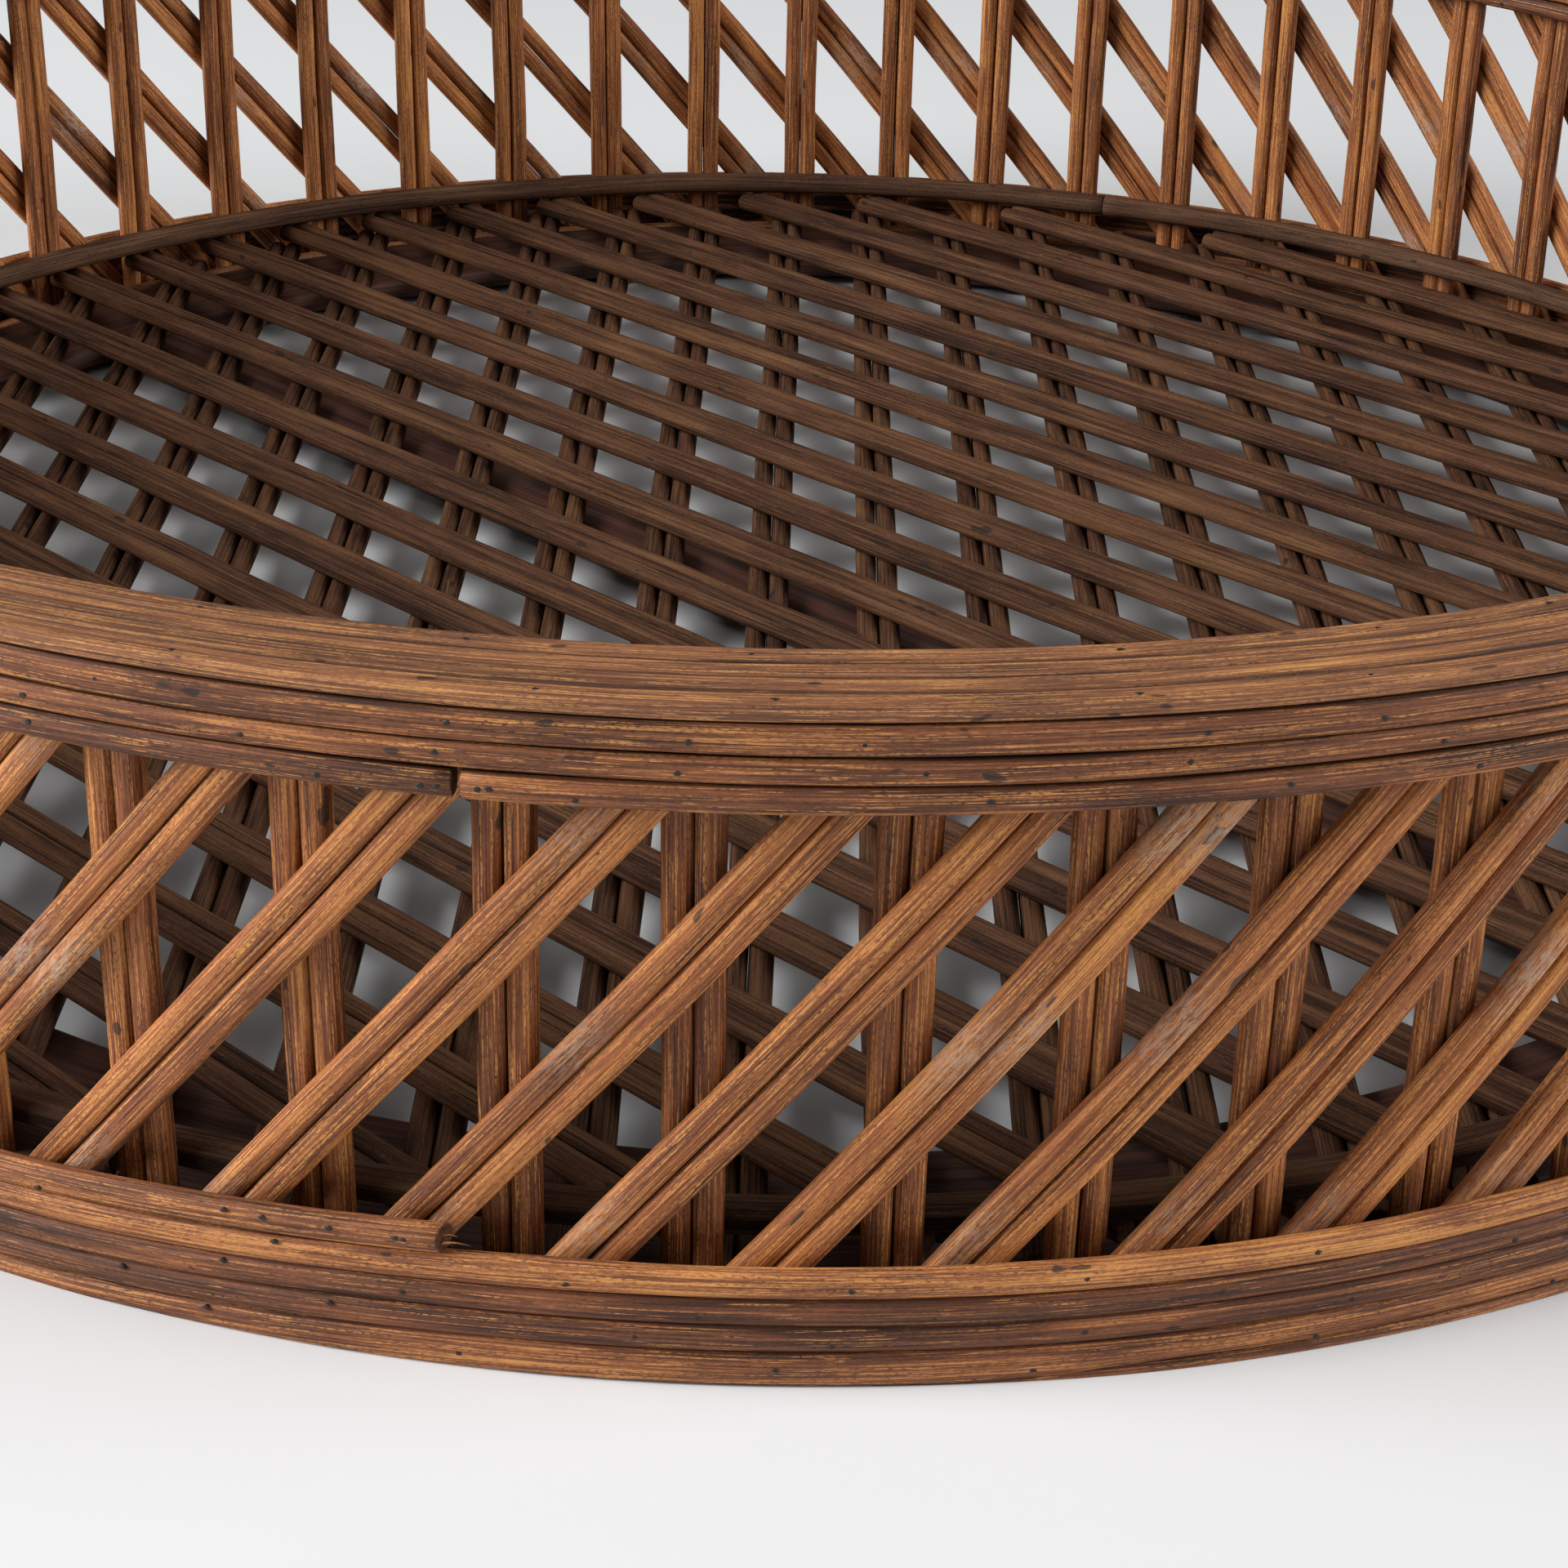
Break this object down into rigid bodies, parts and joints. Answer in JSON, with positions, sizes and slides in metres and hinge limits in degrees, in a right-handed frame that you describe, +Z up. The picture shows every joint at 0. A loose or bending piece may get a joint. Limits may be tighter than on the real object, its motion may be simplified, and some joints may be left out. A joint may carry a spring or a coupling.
{
  "type": "openwork reed tray basket",
  "caption": "Round shallow openwork tray of nailed cane reeds, with an upright and slanting lattice wall, hooped rim and foot, and a lattice floor.",
  "frame": {"origin": "on the ground at the centre of the foot band, where the basket stands", "axes": "+Z up along the axis of the hoops, +X to the right and -Y towards the loose reed end and the rim butt joint, so +Y points to the back"},
  "size_m": [0.52, 0.52, 0.1003],
  "materials": {
    "hoop_reed": "brown stained cane, satin, with fine lengthwise streaks",
    "upright_reed": "brown stained cane, satin, with lighter lengthwise streaks",
    "slant_reed": "orange brown stained cane, satin, scuffed at the crossings",
    "floor_reed": "dark brown stained cane, matte",
    "under_board": "dark red brown stained board, matte",
    "brad": "dull dark steel"
  },
  "bodies": {
    "root": {"floor_edge_hoop": "hoop_reed", "floor_lower_pair_01": "floor_reed", "floor_lower_pair_02": "floor_reed", "floor_lower_pair_03": "floor_reed", "floor_lower_pair_04": "floor_reed", "floor_lower_pair_05": "floor_reed", "floor_lower_pair_06": "floor_reed", "floor_lower_pair_07": "floor_reed", "floor_lower_pair_08": "floor_reed", "floor_lower_pair_09": "floor_reed", "floor_lower_pair_10": "floor_reed", "floor_lower_pair_11": "floor_reed", "floor_lower_pair_12": "floor_reed", "floor_lower_pair_13": "floor_reed", "floor_lower_pair_14": "floor_reed", "floor_lower_pair_15": "floor_reed", "floor_lower_pair_16": "floor_reed", "floor_lower_pair_17": "floor_reed", "floor_lower_pair_18": "floor_reed", "floor_lower_pair_19": "floor_reed", "floor_lower_pair_20": "floor_reed", "floor_lower_pair_21": "floor_reed", "floor_lower_pair_22": "floor_reed", "floor_upper_pair_01": "floor_reed", "floor_upper_pair_02": "floor_reed", "floor_upper_pair_03": "floor_reed", "floor_upper_pair_04": "floor_reed", "floor_upper_pair_05": "floor_reed", "floor_upper_pair_06": "floor_reed", "floor_upper_pair_07": "floor_reed", "floor_upper_pair_08": "floor_reed", "floor_upper_pair_09": "floor_reed", "floor_upper_pair_10": "floor_reed", "floor_upper_pair_11": "floor_reed", "floor_upper_pair_12": "floor_reed", "floor_upper_pair_13": "floor_reed", "floor_upper_pair_14": "floor_reed", "floor_upper_pair_15": "floor_reed", "floor_upper_pair_16": "floor_reed", "floor_upper_pair_17": "floor_reed", "floor_upper_pair_18": "floor_reed", "floor_upper_pair_19": "floor_reed", "floor_upper_pair_20": "floor_reed", "floor_upper_pair_21": "floor_reed", "floor_upper_pair_22": "floor_reed", "foot_band": "hoop_reed", "foot_liner_hoop": "hoop_reed", "rim_inner_hoop_1": "hoop_reed", "rim_inner_hoop_2": "hoop_reed", "rim_inner_hoop_3": "hoop_reed", "rim_inner_hoop_4": "hoop_reed", "rim_outer_hoop_1": "hoop_reed", "rim_outer_hoop_2": "hoop_reed", "rim_outer_hoop_3": "hoop_reed", "rim_outer_hoop_4": "hoop_reed", "under_floor_batten": "under_board", "under_floor_ring": "under_board", "wall_slants": "slant_reed", "wall_uprights": "upright_reed"}
  },
  "joints": []
}
